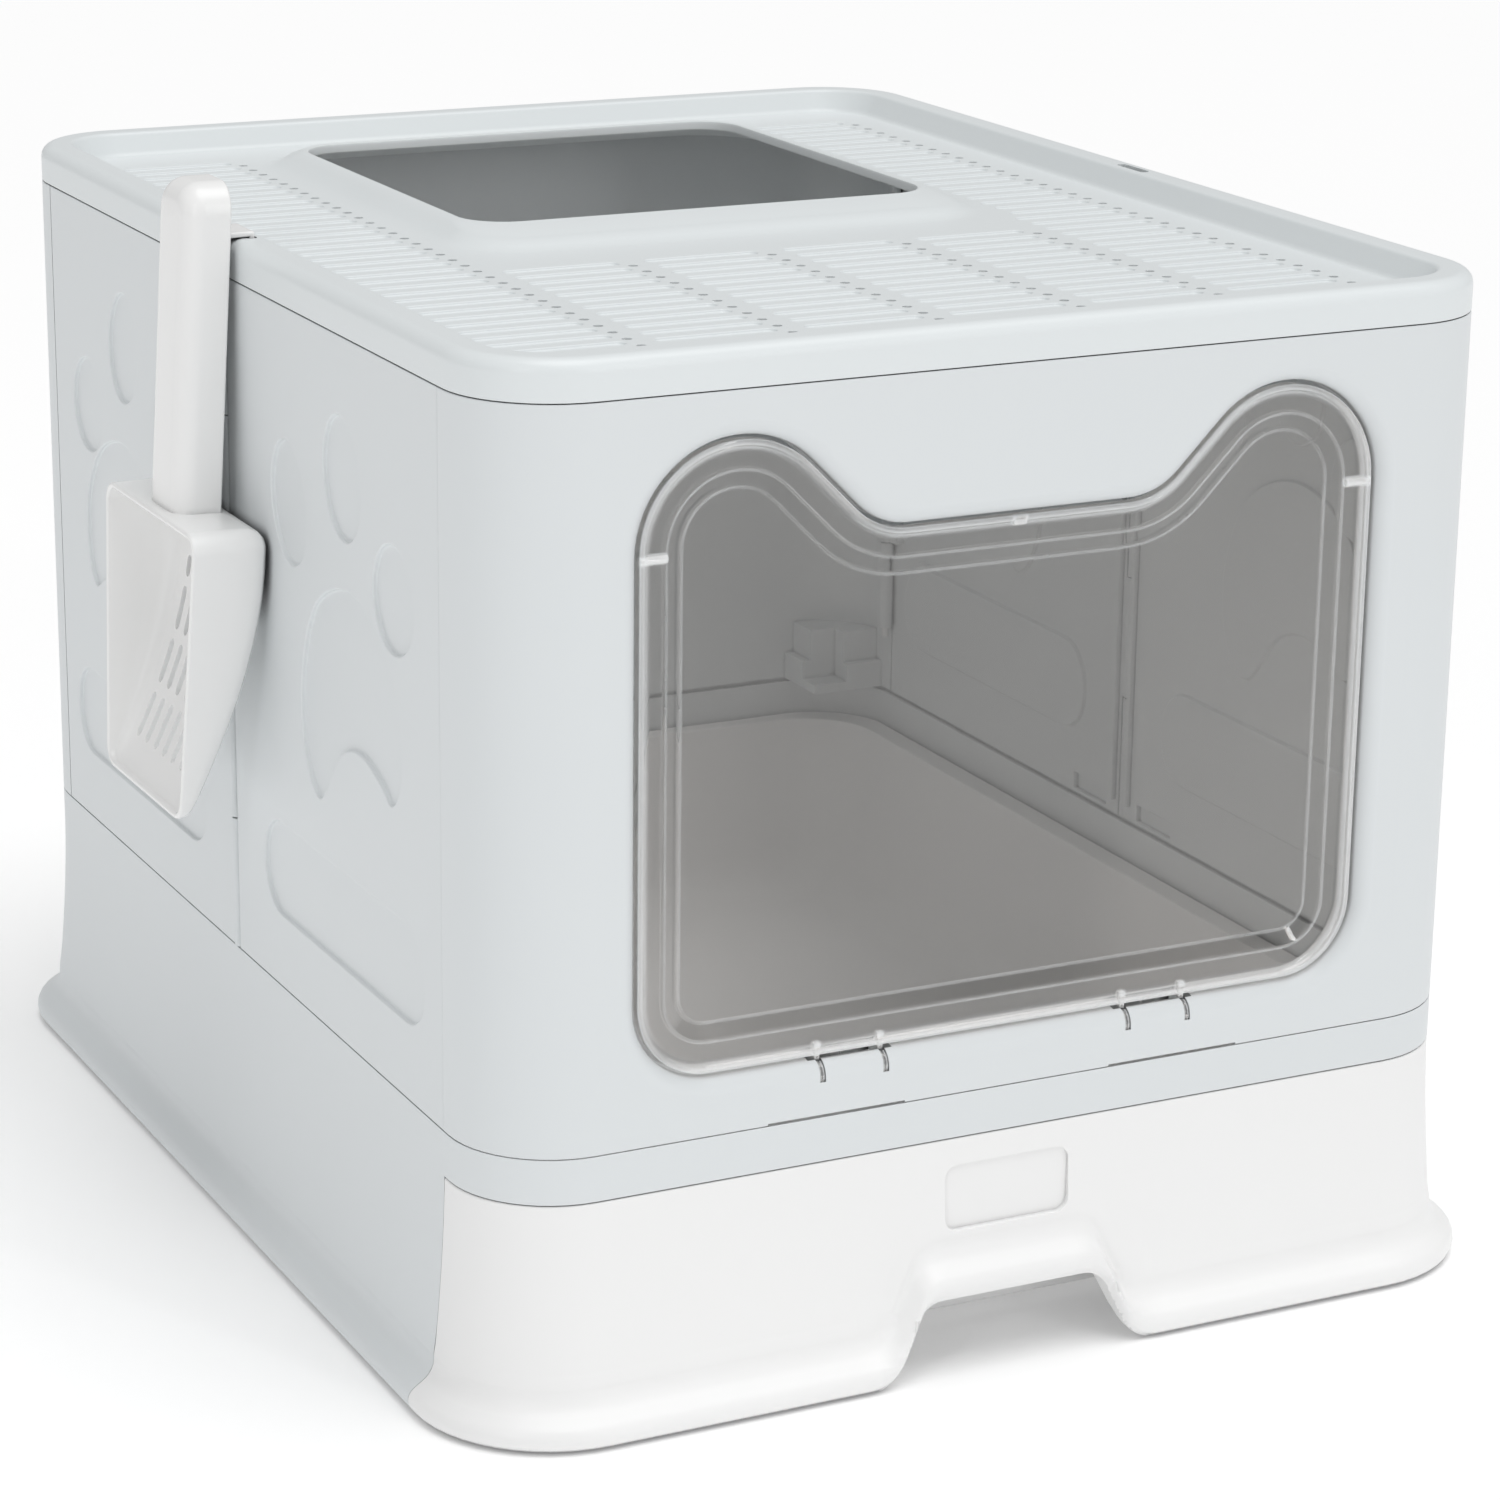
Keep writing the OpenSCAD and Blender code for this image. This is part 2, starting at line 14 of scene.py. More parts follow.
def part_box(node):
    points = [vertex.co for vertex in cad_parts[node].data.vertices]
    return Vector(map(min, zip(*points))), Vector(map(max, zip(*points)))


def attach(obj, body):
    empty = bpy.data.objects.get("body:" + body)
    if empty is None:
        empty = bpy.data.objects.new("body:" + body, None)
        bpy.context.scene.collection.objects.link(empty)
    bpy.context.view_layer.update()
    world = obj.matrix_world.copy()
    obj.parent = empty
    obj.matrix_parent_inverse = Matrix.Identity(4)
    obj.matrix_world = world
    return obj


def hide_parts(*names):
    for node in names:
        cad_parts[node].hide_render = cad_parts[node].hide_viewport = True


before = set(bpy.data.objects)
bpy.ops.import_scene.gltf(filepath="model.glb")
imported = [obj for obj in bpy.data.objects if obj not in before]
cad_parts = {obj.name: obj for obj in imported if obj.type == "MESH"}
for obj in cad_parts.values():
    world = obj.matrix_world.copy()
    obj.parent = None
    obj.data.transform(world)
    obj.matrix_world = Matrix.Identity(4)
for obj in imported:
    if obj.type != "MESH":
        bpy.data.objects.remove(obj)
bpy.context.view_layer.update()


# ---- Sizes, in millimetres, from the frame ----

def box_mm(node):
    low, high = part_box(node)
    return low * 1000, high * 1000


lid_low, lid_high = box_mm("lid")
ring_low, ring_high = box_mm("back_panel")
base_high = box_mm("base_frame")[1]
drawer_high = box_mm("drawer")[1]
scoop_low, scoop_high = box_mm("scoop")

MID_X = (lid_low.x + lid_high.x) / 2
HALF_W = lid_high.x - MID_X
HALF_D = lid_high.y
WALLS_TOP = lid_low.z
LID_TOP = lid_high.z
DECK = LID_TOP - 9
BASE_TOP = base_high.z
FOOT = base_high.x - MID_X - HALF_W
DRAWER_TOP = drawer_high.z
PANEL_LOW = ring_low.z
PANEL_HIGH = ring_high.z

WALL = 3.0
CORNER = 37.0
SEAM_Y = 200.0          # where the corner seams run
GAP = 0.3
EDGE = 0.5              # rounding of moulded edges
SHARP = 38              # degrees past which an edge stays crisp


# ---- Outlines: lists of (across, up) points, counter-clockwise ----

def arc(x, y, r, start, end, steps=8):
    angles = [math.radians(start + (end - start) * i / steps) for i in range(steps + 1)]
    return [(x + r * math.cos(a), y + r * math.sin(a)) for a in angles]


def rectangle(x0, y0, x1, y1):
    return [(x0, y0), (x1, y0), (x1, y1), (x0, y1)]


def rounded(x0, y0, x1, y1, r, steps=6):
    return (arc(x1 - r, y0 + r, r, -90, 0, steps) + arc(x1 - r, y1 - r, r, 0, 90, steps)
            + arc(x0 + r, y1 - r, r, 90, 180, steps) + arc(x0 + r, y0 + r, r, 180, 270, steps))


def circle(x, y, r, steps=24):
    return arc(x, y, r, 0, 360 - 360 / steps, steps - 1)


def oval(x, y, rx, ry, tilt, steps=44):
    c, s = math.cos(math.radians(tilt)), math.sin(math.radians(tilt))
    turn = [2 * math.pi * i / steps for i in range(steps)]
    return [(x + rx * math.cos(a) * c - ry * math.sin(a) * s, y + rx * math.cos(a) * s + ry * math.sin(a) * c)
            for a in turn]


def spline(points, steps=5):
    """A closed smooth curve through the points."""
    made = []
    count = len(points)
    for i in range(count):
        p0, p1, p2, p3 = (points[(i + k) % count] for k in (-1, 0, 1, 2))
        for step in range(steps):
            t = step / steps
            made.append(tuple(
                0.5 * (2 * b + (c - a) * t + (2 * a - 5 * b + 4 * c - d) * t * t
                       + (3 * b - a - 3 * c + d) * t ** 3)
                for a, b, c, d in zip(p0, p1, p2, p3)))
    return made


def grown(outline, by):
    """The outline moved outwards by a distance."""
    made = []
    count = len(outline)
    for i, (x, y) in enumerate(outline):
        before, after = outline[i - 1], outline[(i + 1) % count]
        n1 = Vector((y - before[1], before[0] - x)).normalized()
        n2 = Vector((after[1] - y, x - after[0])).normalized()
        mitre = (n1 + n2) / (1 + n1.dot(n2))
        made.append((x + by * mitre.x, y + by * mitre.y))
    return made


def fillet(points, steps=3, closed=True):
    """Rounds each (x, y, cut) corner by a curve that starts and ends at that cut from it."""
    made = []
    count = len(points)
    for i, (x, y, cut) in enumerate(points):
        if cut == 0 or (not closed and i in (0, count - 1)):
            made.append((x, y))
            continue
        here = Vector((x, y))
        start = here + (Vector(points[i - 1][:2]) - here).normalized() * cut
        end = here + (Vector(points[(i + 1) % count][:2]) - here).normalized() * cut
        for step in range(steps + 1):
            t = step / steps
            made.append(tuple(start * (1 - t) ** 2 + here * 2 * t * (1 - t) + end * t * t))
    return made


def course(x0, y0, x1, y1, r, steps=12):
    """Stations (x, y, outward x, outward y) round a rounded rectangle, from its front right corner."""
    made = []
    corners = ((x1 - r, y0 + r, -90), (x1 - r, y1 - r, 0), (x0 + r, y1 - r, 90), (x0 + r, y0 + r, 180))
    for x, y, start in corners:
        for px, py in arc(x, y, r, start, start + 90, steps):
            made.append((px, py, (px - x) / r, (py - y) / r))
    return made


BODY = course(-HALF_W, -HALF_D, HALF_W, HALF_D, CORNER)


def front_course(extra=()):
    """The front stretch of the body's course, from the left seam round to the right seam."""
    side = len(BODY) // 4
    middle = [(x, -HALF_D, 0, -1) for x in extra]
    return ([(-HALF_W, -SEAM_Y, -1, 0)] + BODY[3 * side:] + middle + BODY[:side] + [(HALF_W, -SEAM_Y, 1, 0)])


def back_course(seam=SEAM_Y):
    side = len(BODY) // 4
    return [(HALF_W, seam, 1, 0)] + BODY[side:3 * side] + [(-HALF_W, seam, -1, 0)]


def rounded_step(depth, r=EDGE, at=0.0, start=0.0, steps=3):
    """(grow, depth) pairs down a step with rounded edges. A negative depth goes up."""
    sign = 1 if depth > 0 else -1
    turns = [math.pi / 2 * i / steps for i in range(steps + 1)]
    top = [(at + r * (1 - math.sin(a)), start + sign * r * (1 - math.cos(a))) for a in turns]
    low = [(at - r * (1 - math.cos(a)), start + depth - sign * r * (1 - math.sin(a))) for a in turns]
    return top + low[(1 if abs(depth) <= 2 * r + 1e-6 else 0):]


def inside_distance(outline, x, z):
    """How far a point lies outside the outline; negative inside."""
    nearest, inside = 1e9, False
    for i, (x1, z1) in enumerate(outline):
        x0, z0 = outline[i - 1]
        dx, dz = x1 - x0, z1 - z0
        t = max(0.0, min(1.0, ((x - x0) * dx + (z - z0) * dz) / (dx * dx + dz * dz)))
        nearest = min(nearest, math.hypot(x - x0 - t * dx, z - z0 - t * dz))
        if (z0 > z) != (z1 > z) and x < x0 + dx * (z - z0) / dz:
            inside = not inside
    return -nearest if inside else nearest


def height_at(points, x):
    """The height of a falling line of points at x, level beyond its ends."""
    (x0, z0), rest = points[0], points[1:]
    for x1, z1 in rest:
        if x > min(x0, x1):
            return z0 + (z1 - z0) * min(1.0, max(0.0, (x0 - x) / (x0 - x1)))
        x0, z0 = x1, z1
    return z0


# ---- A piece of moulded plastic ----

class Piece:
    """Gathers points and faces, in millimetres from the middle of the box."""

    def __init__(self):
        self.points = []
        self.faces = []

    def loop(self, points):
        """Adds the points, and returns their indices."""
        first = len(self.points)
        self.points.extend(tuple(p) for p in points)
        return list(range(first, len(self.points)))

    def band(self, a, b):
        """Faces between two closed loops of indices."""
        for i in range(len(a)):
            j = (i + 1) % len(a)
            self.faces.append((a[i], a[j], b[j], b[i]))

    def fill(self, outer, holes=(), inside=()):
        """Covers the flat outline, less the holes, each given as (indices, flat points).

        inside lists more (index, flat point) pairs for its faces to run through.
        """
        rings = [outer, *holes]
        flat = [Vector(p) for _, points in rings for p in points]
        names = [i for indices, _ in rings for i in indices]
        borders, start = [], 0
        for indices, _ in rings:
            borders.append(list(range(start, start + len(indices))))
            start += len(indices)
        for index, point in inside:
            flat.append(Vector(point))
            names.append(index)
        made = delaunay_2d_cdt(flat, [], borders, 2, 1e-5)
        kept = [names[own[0] if own else min(range(len(flat)), key=lambda i: (flat[i] - at).length)]
                for at, own in zip(made[0], made[3])]
        for face in made[2]:
            self.faces.append(tuple(kept[v] for v in face))

    def press(self, outline, steps, place, cap=True):
        """Loops that step in from a surface. Returns the first and the last, as (indices, flat points)."""
        loops = []
        for grow, depth in steps:
            flat = outline(grow) if callable(outline) else grown(outline, grow)
            loops.append((self.loop([place(u, v, depth) for u, v in flat]), flat))
        for (a, _), (b, _) in zip(loops, loops[1:]):
            self.band(a, b)
        if cap:
            self.fill(loops[-1])
        return loops[0], loops[-1]

    def sweep(self, stations, section, skip=()):
        """Runs a closed section of (outwards, up) points along the stations, less the skipped faces."""
        rings = [self.loop([(x + nx * out, y + ny * out, z) for out, z in section])
                 for x, y, nx, ny in stations]
        for s, (a, b) in enumerate(zip(rings, rings[1:])):
            for k in range(len(section)):
                if (s, k) not in skip:
                    m = (k + 1) % len(section)
                    self.faces.append((a[k], a[m], b[m], b[k]))
        self.fill((rings[0], section))
        self.fill((rings[-1], section))
        return rings

    def hoops(self, hoops):
        """Joins closed hoops, each (stations, outwards, up), and returns the first and the last."""
        made = []
        for stations, out, z in hoops:
            flat = [(x + nx * out, y + ny * out) for x, y, nx, ny in stations]
            made.append((self.loop([(x, y, z) for x, y in flat]), flat))
        for (a, _), (b, _) in zip(made, made[1:]):
            self.band(a, b)
        return made[0], made[-1]

    def pillar(self, outline, low, high, r=EDGE, place=lambda u, v, w: (u, v, w)):
        """A closed prism with rounded ends, from low to high."""
        turns = [math.radians(a) for a in (0, 30, 60, 90)]
        ends = [(-r * (1 - math.sin(a)), r * (1 - math.cos(a))) for a in turns]
        steps = [(g, low + d) for g, d in ends] + [(g, high - d) for g, d in reversed(ends)]
        self.fill(self.press(outline, steps, place)[0])

    def block(self, low, high, r=EDGE):
        """An upright box with rounded edges, between two opposite corners."""
        self.pillar(rounded(low[0], low[1], high[0], high[1], r, 3), low[2], high[2], r)

    def make(self, name, body, material, replaces, sharp=SHARP):
        """Turns the gathered faces into an object of the scene."""
        work = bmesh.new()
        verts = [work.verts.new((x / 1000, y / 1000, z / 1000)) for x, y, z in self.points]
        for face in self.faces:
            if len(set(face)) == len(face):
                try:
                    work.faces.new([verts[i] for i in face])
                except ValueError:
                    pass
        bmesh.ops.remove_doubles(work, verts=work.verts, dist=4e-6)
        bmesh.ops.dissolve_degenerate(work, edges=work.edges, dist=1e-6)
        bmesh.ops.recalc_face_normals(work, faces=work.faces)
        bmesh.ops.translate(work, verts=work.verts, vec=(MID_X / 1000, 0, 0))
        mesh = bpy.data.meshes.new(name)
        work.to_mesh(mesh)
        work.free()
        made = bpy.data.objects.new(name, mesh)
        bpy.context.scene.collection.objects.link(made)
        return settle(made, body, material, replaces, sharp)


def settle(made, body, material, replaces, sharp):
    """Smooth shading with crisp edges, a material, and the piece's place in the frame."""
    mesh = made.data
    mesh.polygons.foreach_set("use_smooth", [True] * len(mesh.polygons))
    mesh.set_sharp_from_angle(angle=math.radians(sharp))
    weighted = made.modifiers.new("weighted", "WEIGHTED_NORMAL")
    weighted.keep_sharp = True
    mesh.materials.append(material)
    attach(made, body)
    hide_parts(*replaces)
    return made


def carved(made, cutter):
    """Cuts the cutter's closed shape out of a made piece."""
    mesh = bpy.data.meshes.new("cutter")
    points = [((x + MID_X) / 1000, y / 1000, z / 1000) for x, y, z in cutter.points]
    mesh.from_pydata(points, [], cutter.faces)
    work = bmesh.new()
    work.from_mesh(mesh)
    bmesh.ops.recalc_face_normals(work, faces=work.faces)
    work.to_mesh(mesh)
    work.free()
    tool = bpy.data.objects.new("cutter", mesh)
    bpy.context.scene.collection.objects.link(tool)
    cut = made.modifiers.new("cut", "BOOLEAN")
    cut.object = tool
    cut.operation = "DIFFERENCE"
    cut.solver = "EXACT"
    cut.use_self = True
    while made.modifiers[0] != cut:
        made.modifiers.move(made.modifiers.find(cut.name), 0)
    for other in made.modifiers:
        other.show_viewport = other == cut
    bpy.context.view_layer.update()
    evaluated = made.evaluated_get(bpy.context.evaluated_depsgraph_get())
    result = bpy.data.meshes.new_from_object(evaluated)
    made.modifiers.remove(cut)
    for other in made.modifiers:
        other.show_viewport = True
    old = made.data
    made.data = result
    result.name = made.name
    bpy.data.meshes.remove(old)
    bpy.data.objects.remove(tool)
    bpy.data.meshes.remove(mesh)
    result.set_sharp_from_angle(angle=math.radians(SHARP))
    return made


# ---- Materials ----

def add(tree, kind, **values):
    """A new shader node. Values are its settings, or its inputs' defaults by their names."""
    made = tree.nodes.new(kind)
    for key, value in values.items():
        if hasattr(made, key):
            setattr(made, key, value)
        else:
            made.inputs[key.replace("_", " ")].default_value = value
    return made


def edges_of(tree, samples, radius, none, full, most=1.0):
    """A socket that is 0 on flat stretches and up to most near edges, by how far the normal turns there."""
    link = tree.links.new
    soft = add(tree, "ShaderNodeBevel", samples=samples, Radius=radius)
    true = add(tree, "ShaderNodeNewGeometry")
    facing = add(tree, "ShaderNodeVectorMath", operation="DOT_PRODUCT")
    link(soft.outputs["Normal"], facing.inputs[0])
    link(true.outputs["Normal"], facing.inputs[1])
    edge = add(tree, "ShaderNodeMapRange")
    edge.inputs["From Min"].default_value = none
    edge.inputs["From Max"].default_value = full
    edge.inputs["To Max"].default_value = most
    link(facing.outputs["Value"], edge.inputs["Value"])
    return edge.outputs["Result"]


def plastic(name, colour, shade, rough, grain):
    """Moulded polypropylene: fine tool grain, faint flow marks, polished, paler edges, and painted shade
    darkening its seams and crevices.
    """
    material = bpy.data.materials.new(name)
    material.use_nodes = True
    tree = material.node_tree
    link = tree.links.new
    shader = tree.nodes["Principled BSDF"]
    shader.inputs["IOR"].default_value = 1.49
    place = add(tree, "ShaderNodeTexCoord").outputs["Object"]

    flow = add(tree, "ShaderNodeTexNoise", Scale=7.0, Detail=3.0, Roughness=0.55)
    specks = add(tree, "ShaderNodeTexNoise", Scale=260.0, Detail=2.0)
    texture = add(tree, "ShaderNodeTexNoise", Scale=2300.0, Detail=2.0, Roughness=0.6)
    for noise in (flow, specks, texture):
        link(place, noise.inputs["Vector"])

    base = add(tree, "ShaderNodeMix", data_type="RGBA")
    base.inputs["A"].default_value = (*colour, 1)
    base.inputs["B"].default_value = (*shade, 1)
    link(flow.outputs["Fac"], base.inputs["Factor"])

    worn = add(tree, "ShaderNodeMath", operation="MULTIPLY")
    link(edges_of(tree, 3, 0.0011, 0.995, 0.86), worn.inputs[0])
    link(specks.outputs["Fac"], worn.inputs[1])

    edged = add(tree, "ShaderNodeMix", data_type="RGBA")
    edged.inputs["B"].default_value = (*[min(1.0, c * 1.03 + 0.01) for c in colour], 1)
    link(worn.outputs["Value"], edged.inputs["Factor"])
    link(base.outputs["Result"], edged.inputs["A"])

    # painted shade: ambient occlusion darkens the colour towards near-black in seams, creases, recesses and
    # between parts, where shade falls
    hollow = add(tree, "ShaderNodeAmbientOcclusion", samples=4, Distance=0.005)
    painted_shade_amount = add(tree, "ShaderNodeMapRange")
    painted_shade_amount.inputs["From Min"].default_value = 0.45
    painted_shade_amount.inputs["From Max"].default_value = 0.12
    link(hollow.outputs["AO"], painted_shade_amount.inputs["Value"])
    painted_shade_mix = add(tree, "ShaderNodeMix", data_type="RGBA")
    painted_shade_mix.inputs["B"].default_value = (0.12, 0.12, 0.125, 1)
    link(painted_shade_amount.outputs["Result"], painted_shade_mix.inputs["Factor"])
    link(edged.outputs["Result"], painted_shade_mix.inputs["A"])
    link(painted_shade_mix.outputs["Result"], shader.inputs["Base Color"])

    gloss = add(tree, "ShaderNodeMapRange")
    gloss.inputs["To Min"].default_value = rough + 0.05
    gloss.inputs["To Max"].default_value = rough - 0.05
    link(flow.outputs["Fac"], gloss.inputs["Value"])
    polished = add(tree, "ShaderNodeMath", operation="MULTIPLY_ADD")
    polished.inputs[1].default_value = -0.12
    link(worn.outputs["Value"], polished.inputs[0])
    link(gloss.outputs["Result"], polished.inputs[2])
    link(polished.outputs["Value"], shader.inputs["Roughness"])

    wave = add(tree, "ShaderNodeBump", Strength=0.10, Distance=0.0006)
    link(flow.outputs["Fac"], wave.inputs["Height"])
    bump = add(tree, "ShaderNodeBump", Strength=grain, Distance=0.00006)
    link(texture.outputs["Fac"], bump.inputs["Height"])
    link(wave.outputs["Normal"], bump.inputs["Normal"])
    link(bump.outputs["Normal"], shader.inputs["Normal"])
    return material


def smoky_clear(name, tint):
    """Smoky polystyrene: clear and polished, with faint haze, and a painted highlight of white diffuse along
    its edges and steps.

    Lamps shine through it, so that it casts a pale shadow.
    """
    material = bpy.data.materials.new(name)
    material.use_nodes = True
    tree = material.node_tree
    link = tree.links.new
    shader = tree.nodes["Principled BSDF"]
    shader.inputs["Base Color"].default_value = (*tint, 1)
    shader.inputs["Transmission Weight"].default_value = 1.0
    shader.inputs["IOR"].default_value = 1.22
    shader.inputs["Coat Weight"].default_value = 1.0
    shader.inputs["Coat IOR"].default_value = 1.6
    shader.inputs["Coat Roughness"].default_value = 0.04
    place = add(tree, "ShaderNodeTexCoord").outputs["Object"]
    haze = add(tree, "ShaderNodeTexNoise", Scale=11.0, Detail=5.0, Roughness=0.6)
    link(place, haze.inputs["Vector"])
    rough = add(tree, "ShaderNodeMapRange")
    rough.inputs["To Min"].default_value = 0.0
    rough.inputs["To Max"].default_value = 0.045
    link(haze.outputs["Fac"], rough.inputs["Value"])
    link(rough.outputs["Result"], shader.inputs["Roughness"])

    ripple = add(tree, "ShaderNodeBump", Strength=0.06, Distance=0.0008)
    link(haze.outputs["Fac"], ripple.inputs["Height"])
    link(ripple.outputs["Normal"], shader.inputs["Normal"])

    # painted highlight: a white diffuse mixed in along the pane's edges and steps, standing in for the bright
    # reflections that line them
    painted_highlight = add(tree, "ShaderNodeBsdfDiffuse")
    painted_highlight.inputs["Color"].default_value = (0.93, 0.95, 0.96, 1)
    with_painted_highlight = add(tree, "ShaderNodeMixShader")
    link(edges_of(tree, 4, 0.0014, 0.9985, 0.990, 0.78), with_painted_highlight.inputs["Fac"])
    link(shader.outputs["BSDF"], with_painted_highlight.inputs[1])
    link(painted_highlight.outputs["BSDF"], with_painted_highlight.inputs[2])

    open_way = add(tree, "ShaderNodeBsdfTransparent")
    open_way.inputs["Color"].default_value = (*[c ** 0.5 for c in tint], 1)
    path = add(tree, "ShaderNodeLightPath")
    either = add(tree, "ShaderNodeMixShader")
    link(path.outputs["Is Shadow Ray"], either.inputs["Fac"])
    link(with_painted_highlight.outputs["Shader"], either.inputs[1])
    link(open_way.outputs["BSDF"], either.inputs[2])
    link(either.outputs["Shader"], tree.nodes["Material Output"].inputs["Surface"])
    return material


WALL_LOOK = plastic("wall_plastic", (0.762, 0.792, 0.805), (0.742, 0.774, 0.788), 0.42, grain=0.07)
LID_LOOK = plastic("lid_plastic", (0.795, 0.832, 0.842), (0.778, 0.817, 0.828), 0.36, grain=0.07)
DRAWER_LOOK = plastic("drawer_plastic", (0.915, 0.915, 0.91), (0.90, 0.90, 0.90), 0.40, grain=0.07)
SCOOP_LOOK = plastic("scoop_plastic", (0.93, 0.93, 0.925), (0.92, 0.92, 0.915), 0.26, grain=0.05)
HINGE_LOOK = plastic("hinge_plastic", (0.86, 0.87, 0.87), (0.84, 0.85, 0.85), 0.30, grain=0.04)
DOOR_LOOK = smoky_clear("smoky_clear_plastic", (0.855, 0.825, 0.80))


# ---- Base and drawer ----

FOOT_TOP, FOOT_HIGH = 28, 30    # where the rolled foot ends, and where its cove has run out
SKIRT_TOP, FLARE = 84, 3.4      # the skirt is upright above here, and leans out by this at the foot's top
LIP_T, LIP_UP = 0.6, 1.7        # the base's outer lip, which hides the foot of the walls


def rise_at(z):
    """How far the skirt leans out at a height, without its foot."""
    return FLARE * ((SKIRT_TOP - z) / (SKIRT_TOP - FOOT_TOP)) ** 1.6 if z < SKIRT_TOP else 0.0


def skirt_outside(top):
    """The flared outside from the foot's underside up to the top, as (outwards, up) points."""
    rise = [(rise_at(z), z) for z in range(FOOT_HIGH, int(top), 6)]
    foot = arc(FOOT - 5, 5, 5, -62, 62, 10)
    cove = arc(13.4, 19, 9, 236, 172, 8)
    return foot + cove + rise


def skirt_inside():
    """The same wall's inside, from the foot up."""
    return [(FOOT - 6.2, 0.4), (FOOT - 5.6, 3), (6.6, 7.2), (3.2, 13), (0.9, 24), (-0.6, 38), (-2.2, 60)]


def make_base():
    piece = Piece()
    lip = [(0, BASE_TOP, 0.3), (-LIP_T, BASE_TOP, 0.1), (-LIP_T, BASE_TOP - LIP_UP, 0.1),
           (-WALL, BASE_TOP - LIP_UP, 0.2)]
    shell = ([(FOOT - 4, 0)] + skirt_outside(BASE_TOP - 1)
             + fillet([(0, BASE_TOP - 4, 0)] + lip + [(-WALL, BASE_TOP - 8, 0)], closed=False)
             + skirt_inside()[::-1])
    piece.sweep(back_course(-SEAM_Y), shell)
    piece.sweep(front_course(), fillet([(0, SKIRT_TOP, EDGE)] + lip + [(-WALL, SKIRT_TOP, EDGE)]))
    ledge = DRAWER_TOP - WALL - GAP
    for side in (-1, 1):
        x0, x1 = sorted((side * (HALF_W - 8.5), side * (HALF_W - 2.6)))
        piece.block((x0, 13 - SEAM_Y, ledge - WALL), (x1, SEAM_Y - 1, ledge))
    return piece.make("base_shell", "base", WALL_LOOK, ["base_frame"])


NOTCH_TOP, NOTCH_FLAT, NOTCH_SLOPE = 28, 28, 65     # its height, half its flat top, its sides' degrees
NOTCH_R, NOTCH_FOOT_R = 10, 15
TRAY_X, TRAY_FRONT, TRAY_BACK, TRAY_R = 182, -226, 233, 34


def notch_half():
    """Half of the finger notch's edge, from the floor up: a round toe, a slope and a round corner."""
    slope = math.radians(NOTCH_SLOPE)
    rise = NOTCH_TOP - (NOTCH_R + NOTCH_FOOT_R) * (1 - math.cos(slope))
    toe = NOTCH_FLAT + (NOTCH_R + NOTCH_FOOT_R) * math.sin(slope) + rise / math.tan(slope)
    return (arc(toe, NOTCH_FOOT_R, NOTCH_FOOT_R, -90, -90 - NOTCH_SLOPE, 8)
            + arc(NOTCH_FLAT, NOTCH_TOP - NOTCH_R, NOTCH_R, 90 - NOTCH_SLOPE, 90, 6))


def notch():
    """The whole notch, as an outline that starts below the floor."""
    half = notch_half()
    half = [(half[0][0], -2)] + half
    return half + [(-x, z) for x, z in reversed(half)]


def foot_at(z):
    """How far the rolled foot stands out from the skirt at a height above the foot's edge."""
    if z >= FOOT_HIGH:
        return 0.0
    profile = [(up, out) for out, up in reversed(skirt_outside(FOOT_HIGH))]
    z = max(z, 0.0)
    return max(0.0, height_at([(FOOT_HIGH, rise_at(FOOT_HIGH))] + profile, z) - rise_at(z))


def make_drawer():
    piece = Piece()
    tray = course(-TRAY_X, TRAY_FRONT, TRAY_X, TRAY_BACK, TRAY_R)
    rim = DRAWER_TOP - WALL
    outside = [(tray, -27, 5), (tray, -18, 5), (tray, -14.5, 6), (tray, -12.2, 8.4), (tray, -11, 12),
               (tray, -0.4, rim - 1.2), (tray, 0.4, rim)]
    edge = [(BODY, -4.4, rim), (BODY, -4, rim + 0.4), (BODY, -4, DRAWER_TOP - 0.5), (BODY, -4.5, DRAWER_TOP)]
    inside = [(tray, -2.4, DRAWER_TOP), (tray, -3.3, DRAWER_TOP - 0.6), (tray, -3.6, DRAWER_TOP - 2),
              (tray, -9.6, 30), (tray, -11, 22), (tray, -13.5, 16), (tray, -17.5, 11.4), (tray, -23, 8.8),
              (tray, -29, 8)]
    first, last = piece.hoops(outside + edge + inside)
    piece.fill(first)
    piece.fill(last)

    across = [x * 0.8 for x in range(-80, 81)]
    top = fillet([(0, 80, 0), (0, DRAWER_TOP, 1.0), (-4.4, DRAWER_TOP, EDGE), (-4.4, rim, EDGE),
                  (-WALL, rim, 0.2), (-WALL, 72, 0)], closed=False)
    front = ([(FOOT - 4, 0)] + [p for p in skirt_outside(FOOT_HIGH) if p[1] < 24]
             + [(rise_at(z), z) for z in list(range(24, 52)) + [54]])
    upper = [(rise_at(z), z) for z in (60, 68, 76)]
    stations = [(x, y - GAP if abs(y + SEAM_Y) < 0.01 else y, nx, ny)
                for x, y, nx, ny in front_course(across)]
    rings = piece.sweep(stations, front + upper + top + skirt_inside()[::-1])

    # the foot's roll follows the notch's edge up and over
    half_notch = notch_half()
    for ring in rings:
        for index in ring[1:len(front)]:
            x, y, z = piece.points[index]
            if y < -HALF_D + 0.5 and abs(x) < half_notch[0][0] + 1:
                above = z - height_at(half_notch, abs(x))
                piece.points[index] = (x, -HALF_D - rise_at(z) - foot_at(above), z)
    made = piece.make("drawer_tray", "drawer", DRAWER_LOOK, ["drawer"])

    def forward(u, v, w):
        return u, -w, v

    cutter = Piece()
    cutter.pillar(notch(), HALF_D - 9.5, HALF_D + FOOT + 4, 0.01, forward)
    shallow_panel = rounded(-24, 50, 25, 74, 5)
    cutter.pillar(shallow_panel, HALF_D - 0.7, HALF_D + 4, 0.01, forward)
    return carved(made, cutter)


